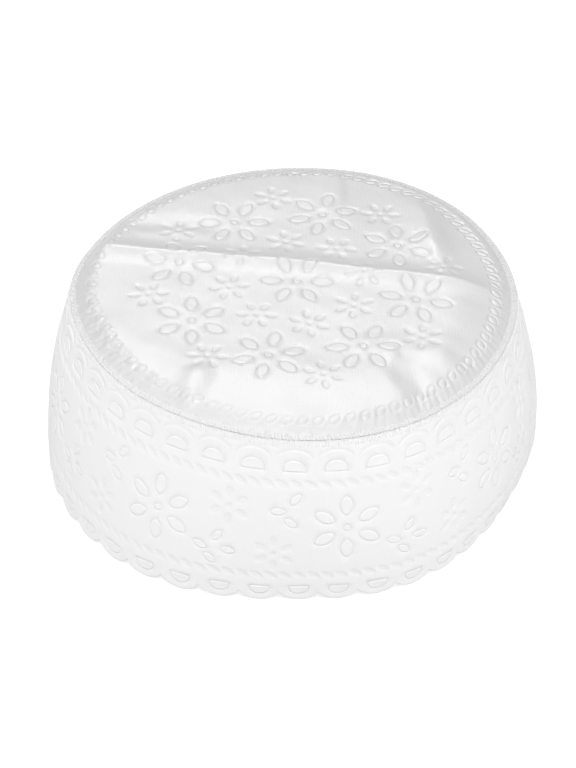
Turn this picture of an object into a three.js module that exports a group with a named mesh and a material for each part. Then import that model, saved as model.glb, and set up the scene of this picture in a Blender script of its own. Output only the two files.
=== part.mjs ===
// A kufi: a round, brimless cotton cap. A stiff side band with a scalloped hem carries a soft, nearly
// flat crown, whose edge is turned down inside the band. Millimetres, +Z up, the hem on Z = 0.
// Angles run anticlockwise seen from above: 0 is the cap's right (+X), 90 its back, 270 its front.

import * as THREE from "three";

// Side band
const hemRadius = 91; // mean outer radius at the hem
const seamRadius = 79.7; // mean outer radius at the crown seam
const bandHeight = 65.2; // scallop tips to the band's top edge
const bandThickness = 1.6; // two layers of cotton and a stiffener
const bandBulge = 3; // mean swell of the wall outside a straight line
const scallopCount = 42;
const scallopDepth = 3.5; // scallop tip to the notch beside it
const scallopTurn = 1.4; // degrees from the front to the first scallop's middle

// Crown
const crownThickness = 1.3;
const crownRise = 3.2; // middle of the crown above its edge
const foldHeight = 2.4; // main crease above the cloth beside it
const allowanceDepth = 5; // edge cloth turned down inside the band
const seamGap = 0.3; // clearance between crown and band

// Fineness of the faceted surfaces
const facetsPerScallop = 5; // odd, so that each scallop's tip is a flat facet
const bandRows = 4; // rows of facets above the scallops
const crownRings = 12;
const backSpokes = 34; // spokes of the crown behind the main crease
const frontSpokes = 38; // spokes in front of it

// The worn cap isn't a true round: sections of it, each a share of the size it is named after. seam,
// hem and bulge shape the band. rise is how much of the crown's rise is left near its edge, and
// flat is how far out the crown stays level before it rolls down to the seam.
const sections = [
  { at: 0, seam: 0.985, hem: 0.98, bulge: 1.0, rise: 1.0, flat: 0.66 },
  { at: 22.5, seam: 0.985, hem: 1.0, bulge: 0.8, rise: 0.7, flat: 0.66 },
  { at: 45, seam: 1.0, hem: 1.005, bulge: 0.9, rise: 0.4, flat: 0.78 },
  { at: 67.5, seam: 1.0, hem: 1.005, bulge: 0.95, rise: 0.2, flat: 0.86 },
  { at: 90, seam: 0.98, hem: 1.0, bulge: 1.0, rise: 0.15, flat: 0.88 },
  { at: 112.5, seam: 0.97, hem: 1.0, bulge: 1.05, rise: 0.2, flat: 0.88 },
  { at: 135, seam: 0.97, hem: 0.995, bulge: 1.25, rise: 0.4, flat: 0.88 },
  { at: 157.5, seam: 0.985, hem: 0.995, bulge: 1.5, rise: 0.8, flat: 0.88 },
  { at: 180, seam: 1.015, hem: 1.0, bulge: 1.1, rise: 1.0, flat: 0.88 },
  { at: 202.5, seam: 1.005, hem: 1.02, bulge: 0.65, rise: 0.8, flat: 0.88 },
  { at: 225, seam: 1.01, hem: 1.04, bulge: 0.8, rise: 0.5, flat: 0.88 },
  { at: 247.5, seam: 1.015, hem: 1.035, bulge: 0.95, rise: 0.25, flat: 0.9 },
  { at: 270, seam: 1.035, hem: 0.995, bulge: 1.0, rise: 0.15, flat: 0.9 },
  { at: 292.5, seam: 1.04, hem: 1.005, bulge: 1.05, rise: 0.2, flat: 0.88 },
  { at: 315, seam: 1.015, hem: 0.975, bulge: 1.15, rise: 0.4, flat: 0.8 },
  { at: 337.5, seam: 0.99, hem: 0.945, bulge: 1.25, rise: 0.75, flat: 0.72 },
];

// The main crease crosses the crown from the seam at its right end, over a middle point, to the seam
// at its left end. The middle point and the widths are shares of seamRadius.
const crease = { right: -2, left: 167, middleX: 0, middleY: 0.118, height: 1, before: 0.11, behind: 0.14 };

// Smaller folds and dents, as lines on the crown. Places and widths are shares of seamRadius, and
// heights are shares of foldHeight.
const smallFolds = [
  { name: "right back fold", x0: 0.55, y0: 0.68, x1: 0.6, y1: 0.3, height: 0.35, width: 0.13 },
  { name: "left back hollow", x0: -0.72, y0: 0.42, x1: -0.45, y1: 0.4, height: -0.3, width: 0.12 },
  { name: "front left fold", x0: -0.42, y0: -0.68, x1: -0.48, y1: -0.84, height: 0.35, width: 0.09 },
  { name: "front right dent", x0: 0.46, y0: -0.62, x1: 0.54, y1: -0.8, height: -0.35, width: 0.09 },
  { name: "front right fold", x0: 0.6, y0: -0.5, x1: 0.74, y1: -0.62, height: 0.25, width: 0.09 },
];

// Smooth closed curve through one column of the sections, at an angle in degrees.
function sectionValue(column, degrees) {
  const count = sections.length;
  const place = (((degrees % 360) + 360) % 360) / (360 / count);
  const row = Math.floor(place);
  const t = place - row;
  const [a, b, c, d] = [-1, 0, 1, 2].map((step) => sections[(row + step + count) % count][column]);
  const cubic = 2 * b + (c - a) * t + (2 * a - 5 * b + 4 * c - d) * t ** 2 + (3 * b - a - 3 * c + d) * t ** 3;
  return cubic / 2;
}

// Outer radius of the band at an angle and a share of its height, 0 at the hem and 1 at the top.
function bandRadius(degrees, share) {
  const hem = hemRadius * sectionValue("hem", degrees);
  const seam = seamRadius * sectionValue("seam", degrees);
  const swell = bandBulge * sectionValue("bulge", degrees) * Math.sin(Math.PI * share ** 0.85);
  return hem + (seam - hem) * share + swell;
}

function polarPoint(degrees, radius, z) {
  const angle = THREE.MathUtils.degToRad(degrees);
  return new THREE.Vector3(radius * Math.cos(angle), radius * Math.sin(angle), z);
}

function seamPoint(degrees) {
  return polarPoint(degrees, bandRadius(degrees, 1), 0);
}

// Height of the hem's edge at a place across one scallop, from -0.5 to 0.5: a round arc whose
// middle facet is flat and lies on Z = 0.
function scallopEdge(place) {
  const pitch = (2 * Math.PI * hemRadius) / scallopCount;
  const radius = (pitch ** 2 / 4 + scallopDepth ** 2) / (2 * scallopDepth);
  const arc = (offset) => radius - Math.sqrt(Math.max(0, radius ** 2 - (offset * pitch) ** 2));
  return arc(place) - arc(0.5 / facetsPerScallop);
}

// Closed body from rings of equally many points. The rings run so that each next one lies on the
// outside's left. The ends are two single points, or the last ring meets the first.
function bodyFromRings(rings, ends) {
  const points = rings.flat();
  const around = rings[0].length;
  const corner = (ring, step) => ring * around + (step % around);
  const faces = [];
  const joins = ends ? rings.length - 1 : rings.length;
  for (let ring = 0; ring < joins; ring += 1) {
    const next = (ring + 1) % rings.length;
    for (let step = 0; step < around; step += 1) {
      faces.push(corner(ring, step), corner(next, step), corner(next, step + 1));
      faces.push(corner(ring, step), corner(next, step + 1), corner(ring, step + 1));
    }
  }
  if (ends) {
    const first = points.push(ends[0]) - 1;
    const last = points.push(ends[1]) - 1;
    for (let step = 0; step < around; step += 1) {
      faces.push(first, corner(0, step), corner(0, step + 1));
      faces.push(corner(rings.length - 1, step), last, corner(rings.length - 1, step + 1));
    }
  }
  const geometry = new THREE.BufferGeometry().setFromPoints(points);
  geometry.setIndex(faces);
  geometry.computeVertexNormals();
  return geometry;
}

// Side band: outer wall down to the scalloped hem, and the inner wall back up.
function bandGeometry() {
  const columns = scallopCount * facetsPerScallop;
  const firstRow = Math.min(1.5 * scallopDepth, bandHeight / 2) / bandHeight;
  const shares = Array.from({ length: bandRows }, (_, row) => firstRow + ((1 - firstRow) * row) / (bandRows - 1));
  const startAngle = 270 + scallopTurn - 180 / scallopCount;
  const ring = (inset, shareAt) =>
    Array.from({ length: columns }, (_, column) => {
      const degrees = startAngle + (360 * column) / columns;
      const share = shareAt((column % facetsPerScallop) / facetsPerScallop - 0.5);
      return polarPoint(degrees, bandRadius(degrees, share) - inset, share * bandHeight);
    });
  const edge = (place) => scallopEdge(place) / bandHeight;
  const outer = [...shares.map((share) => ring(0, () => share)).reverse(), ring(0, edge)];
  const inner = [ring(bandThickness, edge), ...shares.map((share) => ring(bandThickness, () => share))];
  return bodyFromRings([...outer, ...inner]);
}

// How far a point lies along a line and to its left side.
function placeOnLine(x, y, line) {
  const [dx, dy] = [line.x1 - line.x0, line.y1 - line.y0];
  const length = Math.hypot(dx, dy);
  const along = ((x - line.x0) * dx + (y - line.y0) * dy) / length;
  const left = ((y - line.y0) * dx - (x - line.x0) * dy) / length;
  const past = Math.max(0, -along, along - length);
  return { distance: Math.hypot(left, past), left };
}

// Height of the main crease at a point, which falls off to each side of its crest.
function creaseHeight(x, y) {
  const middle = { x: crease.middleX * seamRadius, y: crease.middleY * seamRadius };
  const arms = [seamPoint(crease.right), seamPoint(crease.left)].map((end, arm) => {
    const place = placeOnLine(x, y, { x0: middle.x, y0: middle.y, x1: end.x, y1: end.y });
    return { distance: place.distance, behind: arm === 0 ? place.left > 0 : place.left < 0 };
  });
  const near = arms[0].distance < arms[1].distance ? arms[0] : arms[1];
  const width = seamRadius * (near.behind ? crease.behind : crease.before);
  return foldHeight * crease.height * Math.max(0, 1 - near.distance / width) ** 2;
}

// Height of the smaller folds and dents at a point: soft mounds along their lines.
function smallFoldHeight(x, y) {
  return smallFolds.reduce((sum, fold) => {
    const line = { x0: fold.x0, y0: fold.y0, x1: fold.x1, y1: fold.y1 };
    const reach = placeOnLine(x / seamRadius, y / seamRadius, line).distance / fold.width;
    const mound = reach < 1 ? (1 - reach ** 2) ** 2 : 0;
    return sum + foldHeight * fold.height * mound;
  }, 0);
}

// Upper side of the crown above the band's top edge.
function crownTop(x, y) {
  const degrees = THREE.MathUtils.radToDeg(Math.atan2(y, x));
  const share = Math.min(1, Math.hypot(x, y) / bandRadius(degrees, 1));
  const flat = sectionValue("flat", degrees);
  const roll = Math.max(0, (share - flat) / (1 - flat));
  const level = crownRise * (1 + (sectionValue("rise", degrees) - 1) * share ** 2);
  const folds = creaseHeight(x, y) + smallFoldHeight(x, y);
  return seamGap + crownThickness + (level + folds) * (1 - roll ** 2);
}

// Angles of the crown's spokes, with one spoke along each arm of the main crease.
function spokeAngles() {
  const back = Array.from({ length: backSpokes }, (_, k) => crease.right + ((crease.left - crease.right) * k) / backSpokes);
  const frontTurn = 360 + crease.right - crease.left;
  const front = Array.from({ length: frontSpokes }, (_, k) => crease.left + (frontTurn * k) / frontSpokes);
  return [...back, ...front];
}

// Crown: top cloth out to the seam, the edge turned down inside the band, and the underside.
function crownGeometry() {
  const angles = spokeAngles();
  const middle = new THREE.Vector3(crease.middleX * seamRadius, crease.middleY * seamRadius, 0);
  const onTop = (point, drop) => new THREE.Vector3(point.x, point.y, bandHeight + crownTop(point.x, point.y) - drop);
  const ringShares = Array.from({ length: crownRings }, (_, k) => Math.sin((Math.PI / 2) * ((k + 1) / crownRings)));
  const clothRing = (rim, share, drop) => rim.map((point) => onTop(middle.clone().lerp(point, share), drop));

  const flangeBottom = bandHeight - allowanceDepth;
  const inset = bandThickness + seamGap;
  const wallRing = (extraInset, z) =>
    angles.map((angle) => polarPoint(angle, bandRadius(angle, Math.min(1, z / bandHeight)) - extraInset, z));

  const outerRim = wallRing(0, bandHeight);
  const innerRim = wallRing(inset + crownThickness, bandHeight);
  const edgeUnderside = bandHeight + seamGap;
  const lifted = (ring, z) => ring.map((point) => new THREE.Vector3(point.x, point.y, z));
  const rings = [
    ...ringShares.map((share) => clothRing(outerRim, share, 0)),
    lifted(outerRim, edgeUnderside),
    lifted(wallRing(inset, bandHeight), edgeUnderside),
    wallRing(inset, flangeBottom),
    wallRing(inset + crownThickness, flangeBottom),
    ...ringShares.map((share) => clothRing(innerRim, share, crownThickness)).reverse(),
  ];
  return bodyFromRings(rings, [onTop(middle, 0), onTop(middle, crownThickness)]);
}

function bandMesh() {
  const cotton = new THREE.MeshStandardMaterial({ color: 0xf4f4f3, roughness: 0.85, metalness: 0 });
  const mesh = new THREE.Mesh(bandGeometry(), cotton);
  mesh.name = "side_band";
  return mesh;
}

function crownMesh() {
  const sateen = new THREE.MeshStandardMaterial({ color: 0xf0f0ef, roughness: 0.6, metalness: 0 });
  const mesh = new THREE.Mesh(crownGeometry(), sateen);
  mesh.name = "crown";
  return mesh;
}

const kufi = new THREE.Group();
kufi.add(bandMesh(), crownMesh());
const extent = new THREE.Box3().setFromObject(kufi);
const middle = extent.getCenter(new THREE.Vector3());
kufi.position.set(-middle.x, -middle.y, -extent.min.z);

export default kufi;
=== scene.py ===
"""Looks of a white cotton kufi: an embossed crown and side band, joined by a stitched seam."""

import math

import bmesh
import bpy
import numpy as np
from mathutils import Matrix, Vector
from mathutils.geometry import delaunay_2d_cdt
from mathutils.kdtree import KDTree


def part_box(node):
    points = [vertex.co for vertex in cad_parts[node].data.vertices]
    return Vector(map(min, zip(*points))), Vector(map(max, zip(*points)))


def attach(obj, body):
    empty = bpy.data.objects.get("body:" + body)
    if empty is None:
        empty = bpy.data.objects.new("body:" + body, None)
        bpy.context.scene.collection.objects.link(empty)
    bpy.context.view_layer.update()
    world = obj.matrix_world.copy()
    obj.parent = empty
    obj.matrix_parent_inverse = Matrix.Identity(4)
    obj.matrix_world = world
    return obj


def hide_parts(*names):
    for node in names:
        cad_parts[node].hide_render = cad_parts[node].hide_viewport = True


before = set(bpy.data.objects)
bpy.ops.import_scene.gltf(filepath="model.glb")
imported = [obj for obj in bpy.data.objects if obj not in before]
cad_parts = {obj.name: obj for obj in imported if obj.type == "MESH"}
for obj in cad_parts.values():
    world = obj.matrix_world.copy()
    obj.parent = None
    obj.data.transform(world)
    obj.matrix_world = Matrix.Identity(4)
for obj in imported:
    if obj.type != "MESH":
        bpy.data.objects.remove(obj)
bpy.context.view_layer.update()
MM = 0.001
CM_PER_MM = 0.1

# Sizes of the cap, the same as its solids', in millimetres and degrees. Angles run anticlockwise seen
# from above, from the cap's right
HEM_RADIUS = 91
SEAM_RADIUS = 79.7
BAND_HEIGHT = 65.2
BAND_THICKNESS = 1.6
BAND_BULGE = 3
BULGE_POWER = 0.85
SCALLOPS = 42
SCALLOP_DEPTH = 3.5
SCALLOP_TURN = 1.4
CROWN_THICKNESS = 1.3
CROWN_RISE = 3.2
FOLD_HEIGHT = 2.4
ALLOWANCE_DEPTH = 5
SEAM_GAP = 0.3
FRONT = 270

# Sections of the cap, as the solids have them: each column is a share of the size it is named after
SECTION_COLUMNS = ("seam", "hem", "bulge", "rise", "flat")
SECTIONS = (
    (0.985, 0.98, 1, 1, 0.66),
    (0.985, 1, 0.8, 0.7, 0.66),
    (1, 1.005, 0.9, 0.4, 0.78),
    (1, 1.005, 0.95, 0.2, 0.86),
    (0.98, 1, 1, 0.15, 0.88),
    (0.97, 1, 1.05, 0.2, 0.88),
    (0.97, 0.995, 1.25, 0.4, 0.88),
    (0.985, 0.995, 1.5, 0.8, 0.88),
    (1.015, 1, 1.1, 1, 0.88),
    (1.005, 1.02, 0.65, 0.8, 0.88),
    (1.01, 1.04, 0.8, 0.5, 0.88),
    (1.015, 1.035, 0.95, 0.25, 0.9),
    (1.035, 0.995, 1, 0.15, 0.9),
    (1.04, 1.005, 1.05, 0.2, 0.88),
    (1.015, 0.975, 1.15, 0.4, 0.8),
    (0.99, 0.945, 1.25, 0.75, 0.72),
)
CREASE = {"right": -2, "left": 167, "middle": (0, 0.118), "height": 1, "before": 0.11, "behind": 0.14}

# Small folds and dents: start and end as shares of the seam's radius, height and width
SMALL_FOLDS = (
    ((0.55, 0.68), (0.6, 0.3), 0.35, 0.13),
    ((-0.72, 0.42), (-0.45, 0.4), -0.3, 0.12),
    ((-0.42, -0.68), (-0.48, -0.84), 0.35, 0.09),
    ((0.46, -0.62), (0.54, -0.8), -0.35, 0.09),
    ((0.6, -0.5), (0.74, -0.62), 0.25, 0.09),
)

# Soft ridges of the crown cloth, in millimetres: start, end, height, and how far the left and the right
# side slope, seen along the ridge from its start
SOFT_RIDGES = (
    ((45, 62), (48, 26), 0.8, 15, 4.5),
    ((48, 26), (53, 9), 0.6, 9, 4.5),
    ((14, 70), (15.5, 48), 0.6, 4, 16),
    ((-56, 29), (-35, 28), 0.5, 7, 5),
    ((-52, 52), (-8, 68), 1, 8, 30),
    ((36, -46), (40, -66), 0.6, 5, 13),
    ((-34, -52), (-36, -66), 0.35, 12, 4),
    ((24, -39), (50, -37), 0.5, 11, 8),
    ((-62, -30), (-38, -52), 0.5, 12, 9),
    ((-30, -50), (26, -54), 0.75, 16, 17),
)

# Unevenness of the crown: height, length and seed. Waves round the band: how many, phase, lean with
# height, and size. They fade out towards the seam
CROWN_WAVER = ((0.25, 34, 1), (0.09, 12, 2), (0.02, 4, 6))
BAND_WAVES = ((5, 1, 1.5, 0.28), (11, 0, 2, 0.16), (23, 3, -4, 0.08), (41, 0, -6, 0.05))
BAND_WAVE_FADE = 12
BAND_EDGE_ROLL = 1
BAND_EDGE_INSET = 0.08
NOISE_WAVES = 7
NOISE_STRETCH = (0.7, 1.6)
NOISE_PEAK = 1.6

# The crown's margin dips by drop, from the share front or back of the seam's radius to the share seam,
# and from ease earlier in the smooth middle of the front. The front gives way to the back at turn
MARGIN = {"front": 0.9, "back": 0.945, "seam": 0.985, "drop": 1.3, "ease": 0.045, "turn": 0.2}
SMOOTH_FRONT = {"middle": 266, "width": 32}

# Puckers of the margin: zigzag gathers that turn at a share of the seam's radius, broad ones under them,
# and crumples. Zones where they are strong: middle, width and strength
PUCKERS = {"count": 168, "height": 0.2, "slant": 85, "turn": 0.91, "sway": 2.2, "sways": 7}
BROAD_PUCKERS = {"count": 61, "share": 0.8, "sway": 3, "sways": 5}
CRUMPLES = {"height": 0.2, "length": 3, "seed": 7}
PUCKER_REACH = {"start": 0.865, "rise": 0.05, "end": 0.975, "fall": 0.03}
PUCKER_LEAST = 0.12
PUCKER_ZONES = ((208, 34, 1), (312, 22, 0.7), (150, 20, 0.35), (30, 40, 0.25))

# Embossed shapes, in millimetres and degrees, as rings from the outside in: how far each ring lies
# outside the outline, its height, and how much painted shade it gets, the shade of the groove's bottom
LARGE_RINGS = (
    (0.6, 0.04, 0),
    (0.3, -0.162, 0),
    (0, -0.36, 1),
    (-0.25, -0.162, 0),
    (-0.5, 0.06, 0),
    (-1.1, 0.05, 0),
)
SMALL_RINGS = (
    (0.55, 0.1, 0),
    (0.275, -0.117, 0),
    (0, -0.26, 1),
    (-0.2, -0.117, 0),
    (-0.4, 0.1, 0),
    (-0.8, 0.02, 0),
)
CHAIN_GROOVE = ((0.6, 0, 0), (0.3, -0.16, 0), (0, -0.3, 0.7), (-0.25, -0.14, 0), (-0.5, 0, 0))
DENT = ((0.55, 0, 0), (0.2, -0.08, 0), (-0.25, -0.28, 0.5), (-0.7, -0.32, 0.3))

# How deep each cloth takes the pattern, and how strongly shade is painted into its grooves
CROWN_PRESS = {"depth": 0.85, "line": 0.3}
BAND_PRESS = {"depth": 1, "line": 0.16}

# Outlines. Leaves: length, width, points. Eyes: radius, points. Half-moons: width, height, whether the
# arc is on top, points along it
LARGE_PETAL = (7.5, 4.3, 24)
SMALL_PETAL = (4.1, 2.5, 16)
SPRIG_LEAF = (5.2, 2.8, 18)
ROPE_OVAL = (4.7, 2.1, 14)
CHAIN_OVAL = (4.5, 2.7, 14)
LARGE_EYE = (1.25, 14)
SMALL_EYE = (0.9, 10)
HEM_EYELET = (7, 3.7, False, 18)
TOP_EYELET = (7.7, 4.1, True, 18)
LEAF_SHARPNESS = 1.22
LEAF_TIP = 1.2
MOON_FULLNESS = 0.8
PETALS = 6
CROWN_PETAL_RADIUS = 9.1
BAND_PETAL_RADIUS = 8.6
SMALL_PETAL_RADIUS = 5.1

# Crown pattern: rings of flowers (radius, turn as a share of the step, kind) and the chain of ovals
ROSETTE_FLOWERS = 8
ROSETTE_TURN = -12.4
ROSETTE_RINGS = ((43.25, 0, "large"), (24.44, 0.5, "small"), (53.13, 0.5, "small"))
CHAIN_RING = 72
CHAIN_OVALS = 88
CHAIN_SLANT = 40
CHAIN_FADE = 0.55

# Rows and motifs of the band: heights above the hem. hem_row and top_row are where the half-moons are
# fitted to the band's width. Ropes: height and number of ovals. Motifs: kind, turn, height, and the room
# they need to the join
BAND_MIDDLE_RADIUS = 87
HEM_EYELET_TOP = 7
HEM_ROW = 5
TOP_EYELETS = 38
TOP_EYELET_FLOOR = 53.9
TOP_ROW = 57
TOP_ARC = {"height": 61.9, "depth": 3.4, "gap": 0.35, "points": 15, "bow": 0.92, "narrow": 0.05, "fade": 6}
TOP_ARC_RINGS = ((0.5, 0), (0.1, -0.3), (-0.3, 0.08), (-0.7, 0.22), (-1.4, 0.06))
ROPES = ((12.2, 118), (49.4, 114))
ROPE_SLANT = -30
MOTIF_TURN = 42.4
MOTIF_START = 281.6
MOTIF_SAG = {"middle": 250, "width": 22, "depth": 2.1}
MOTIFS = (
    ("large", 0, 32.3, 14),
    ("low_sprig", 13.5, 23.6, 9),
    ("small", 16.4, 41, 9),
    ("small", 26.6, 23, 9),
    ("high_sprig", 29.6, 39.8, 9),
)

# Leaves of the sprigs: across, up and turned
SPRIGS = {
    "low_sprig": ((-4.7, 0.2, -20), (1.2, 5, 50), (5, -0.4, -5), (-1.2, -4.6, -40)),
    "high_sprig": ((-3.4, 0, 0), (2.5, 4.8, 50), (0.8, -4.3, -35)),
}

# Needle holes beside the seam: radius, height and painted shade of their rings. A higher closing leaves
# more of them closed up
NEEDLE_HOLE = ((0.26, 0, 0), (0.1, -0.2, 0.9))
HOLE_POINTS = 6
HOLE_SHIFT = 0.22
HOLE_CLOSING = 1.5
BAND_HOLES = {"count": 400, "height": 63.05, "seed": 11}
CROWN_HOLES = {"count": 360, "inset": 2.45, "seed": 12}

# The band's strip is joined at the back, midway between two scallops and between two top eyelets
PITCH_DEG = 360 / SCALLOPS
HEM_CUT = FRONT + SCALLOP_TURN - 21.5 * PITCH_DEG
TOP_PITCH_DEG = 360 / TOP_EYELETS
TOP_CUT = FRONT - 19.5 * TOP_PITCH_DEG

# Edges of the band: how far inside the edge each line runs, and its height
EDGE_RIM = ((0, -0.45), (0.35, -0.06), (0.85, 0.17), (1.4, 0))
JOIN_GROOVE = ((0, -0.45), (0.55, -0.1), (1, 0))
JOIN_POINTS = 60

# Plain inside of the band: the rolled hem as shares of the thickness and lifts, then rows of points
HEM_COLUMNS = SCALLOPS * 12
HEM_ROLL = ((0.45, 0), (1, 0.27))
INNER_HEIGHTS = (2, 4, 7, 12, 20, 28, 36, 44, 52, 58, 62)
INNER_EVENING = 0.3
INNER_TOP_DROP = 0.2

# Edge and plain underside of the crown
RIM_POINTS = 480
RIM_INSETS = (0, 0.1, 0.4, 0.9, 1.6)
LEDGE_RISE = 0.04
UNDERSIDE_SHARES = (1, 0.97, 0.93, 0.88, 0.8, 0.7, 0.58, 0.45, 0.3, 0.15)

# Free points that fill the cloth between the shapes
BAND_GROUND = {"pitch": 1.9, "clearance": 0.75, "edge": 0.7, "seed": 3}
BAND_GROUND_PAST = {"left": 3, "right": 1, "low": 0.5, "high": 0.6}
CREASE_GROUND = {"pitch": 1.2, "clearance": 0.6, "reach": 0.95, "asides": (0, 1.1, -1.1, 2.4, -2.4)}
MARGIN_GROUND = {"pitch": 0.85, "clearance": 0.45, "from": 0.86, "to": 0.97, "seed": 8}
CROWN_GROUND = {"pitch": 1.6, "clearance": 0.7, "edge": 2.1, "seed": 4}
CROWN_GROUND_REACH = 1.06
GROUND_SHIFT = 0.18

# Small steps of the mesh work: probe for slopes, pull off the rim, room at the edges, and welding
PROBE = 0.15
RIM_PULL = 0.999
OFF_JOIN = 1e-3
PAST_RIM = 0.05
SAME_PLACE = 1e-7
WELD_METRES = 1e-6

# Seam threads. A stitch across the seam lies to one side of it, between near and length. shift and
# spread are the unevenness of places and lengths, and lean is how far along it ends, in pitches
THREAD_SIDES = 5
THREAD_STEPS = 8
THREAD_END = 0.75
THREAD_SEED = 5
OUTWARD_RISE = 40
ARCH = 2.5
SEAM_INSET = 0.12
SEAM_DROP = 0.1
TEETH = {
    "count": 440, "radius": 0.27, "lift": -0.1, "shift": 0.08, "lean": 0.5,
    "side": 1, "near": 0.1, "length": 2.1, "spread": 0.3,
}
FINE = {
    "count": 640, "radius": 0.15, "lift": 0.35, "shift": 0.07, "lean": 0.3,
    "side": -1, "near": 0.25, "length": 1.9, "spread": 0.25,
}
ROW = {"count": 190, "radius": 0.195, "length": 0.75, "reach": -0.1, "arch": 0.12, "sunk": 0.02}

# Cloths and threads. pitch is between two threads of the weave in millimetres, relief in metres
# line is the darker colour that is painted into the grooves' bottoms as shade
BAND_COTTON = {"brightness": 0.79, "line": 0.5, "roughness": 0.85, "gloss": 0.2, "index": 1.5}
BAND_WEAVE = {"pitch": 0.5, "strength": 0.06, "relief": 0.0001}
CROWN_SATEEN = {"brightness": 0.58, "line": 0.34, "roughness": 0.44, "gloss": 1, "index": 1.7}
CROWN_WEAVE = {"pitch": 0.5, "strength": 0.11, "relief": 0.0001}
SATEEN_THREAD = {"brightness": 0.6, "roughness": 0.5, "gloss": 1, "index": 1.7}
WHITE_THREAD = {"brightness": 0.82, "roughness": 0.6, "gloss": 0.5, "index": 1.5}
SLUB_SHARE = 9
SLUB_LENGTH = 0.1
SLUB_DETAIL = 2
BLOTCH = {"scale": 60, "detail": 3, "share": 0.985}
TWIST = {"scale": 3000, "strength": 0.2, "relief": 0.0001}

# Camera of the photograph, in millimetres and degrees
CAMERA_DISTANCE = 900
CAMERA_ELEVATION = 38.97
CAMERA_ROLL = 1
CAMERA_TARGET = (-2.63, 0, 22.58)
CAMERA_FAR = 50
FOCAL_PIXELS = 2446.7
PICTURE_HEIGHT = 768
SENSOR = 36

# Stage, in metres. Lights: name, azimuth from the front to the right, elevation, watts and size
FLOOR_SIZE = 8
FLOOR = {"brightness": 0.35, "roughness": 1, "gloss": 0, "index": 1.5}
FLOOR_GLOW = 0.7
WORLD_STRENGTH = 0.14
LIGHT_TARGET = (0, 0, 0.04)
LIGHT_DISTANCE = 1.6
LIGHTS = (
    ("key", 0, 58, 15.8, 0.5),
    ("left_fill", -75, 34, 10.2, 1.8),
    ("right_fill", 75, 26, 11.6, 1.8),
    ("back_fill", -150, 50, 4, 0.9),
    ("sheen", 180, 58, 6.5, 0.7),
)


# Shared geometry


def section_value(column, degrees):
    """Smooth closed curve through one column of the sections, at angles in degrees."""
    values = np.array([row[SECTION_COLUMNS.index(column)] for row in SECTIONS])
    count = len(values)
    place = np.mod(degrees, 360.0) / (360.0 / count)
    row = np.floor(place).astype(int)
    t = place - row
    a, b, c, d = (values[(row + step) % count] for step in (-1, 0, 1, 2))
    cubic = 2 * b + (c - a) * t + (2 * a - 5 * b + 4 * c - d) * t**2 + (3 * b - a - 3 * c + d) * t**3
    return cubic / 2


def band_radius(degrees, height):
    """Outer radius of the band at an angle and a height above the hem."""
    share = np.clip(height / BAND_HEIGHT, 0, 1)
    hem = HEM_RADIUS * section_value("hem", degrees)
    seam = SEAM_RADIUS * section_value("seam", degrees)
    swell = BAND_BULGE * section_value("bulge", degrees) * np.sin(math.pi * share**BULGE_POWER)
    return hem + (seam - hem) * share + swell


def seam_radius(x, y):
    """Outer radius of the seam in the direction of points of the crown."""
    return band_radius(np.degrees(np.arctan2(y, x)), BAND_HEIGHT)


def polar(degrees, radius, z):
    """Points at angles, radii and heights."""
    angle = np.radians(degrees)
    return np.stack(np.broadcast_arrays(radius * np.cos(angle), radius * np.sin(angle), z), axis=-1)


def unit(vectors):
    """Vectors of the same directions, one long."""
    return vectors / np.linalg.norm(vectors, axis=-1, keepdims=True)


def normal_of(point_at, u, v):
    """Outward direction of a cloth, from the function for its points."""
    across = point_at(u + PROBE, v) - point_at(u - PROBE, v)
    up = point_at(u, v + PROBE) - point_at(u, v - PROBE)
    return unit(np.cross(across, up))


def solids_offset():
    """How far the solids lie from the axis of the sections: their box is centred on the origin."""
    degrees, height = np.meshgrid(np.arange(0, 360, 0.5), np.linspace(0, BAND_HEIGHT, 40))
    points = polar(degrees, band_radius(degrees, height), height).reshape(-1, 3)
    low, high = (np.array(corner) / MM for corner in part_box("side_band"))
    return ((low + high) / 2 - (points.min(0) + points.max(0)) / 2)[:2]


OFFSET = solids_offset()


def soft_noise(x, y, length, seed):
    """Smooth, repeatable unevenness from about -1 to 1, as long as length or so."""
    rng = np.random.default_rng(seed)
    total = np.zeros(np.broadcast(x, y).shape)
    for _ in range(NOISE_WAVES):
        direction = rng.uniform(0, 2 * math.pi)
        phase = rng.uniform(0, 2 * math.pi)
        stretch = rng.uniform(*NOISE_STRETCH)
        along = x * math.cos(direction) + y * math.sin(direction)
        total = total + np.sin(2 * math.pi * along / (length * stretch) + phase)
    return total / math.sqrt(NOISE_WAVES) / NOISE_PEAK


def smooth_step(value):
    """Rises softly from 0 to 1 as the value does."""
    value = np.clip(value, 0, 1)
    return value**2 * (3 - 2 * value)


def distance_to_line(x, y, start, end):
    """Distance of points to a stretch of line, and how far they lie to its left."""
    dx, dy = end[0] - start[0], end[1] - start[1]
    length = math.hypot(dx, dy)
    along = ((x - start[0]) * dx + (y - start[1]) * dy) / length
    left = ((y - start[1]) * dx - (x - start[0]) * dy) / length
    past = np.maximum(0, np.maximum(-along, along - length))
    return np.hypot(left, past), left


# Crown surface


def crease_ends():
    """Where the main crease meets the seam, on the right and on the left."""
    turns = (CREASE["right"], CREASE["left"])
    return [polar(turn, band_radius(turn, BAND_HEIGHT), 0.0)[:2] for turn in turns]


def crease_height(x, y):
    """Height of the main crease at points of the crown."""
    middle = tuple(value * SEAM_RADIUS for value in CREASE["middle"])
    right, left = (distance_to_line(x, y, middle, tuple(end)) for end in crease_ends())
    on_right = right[0] < left[0]
    distance = np.where(on_right, right[0], left[0])
    behind = np.where(on_right, right[1] > 0, left[1] < 0)
    width = SEAM_RADIUS * np.where(behind, CREASE["behind"], CREASE["before"])
    return FOLD_HEIGHT * CREASE["height"] * np.maximum(0, 1 - distance / width) ** 2


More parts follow.
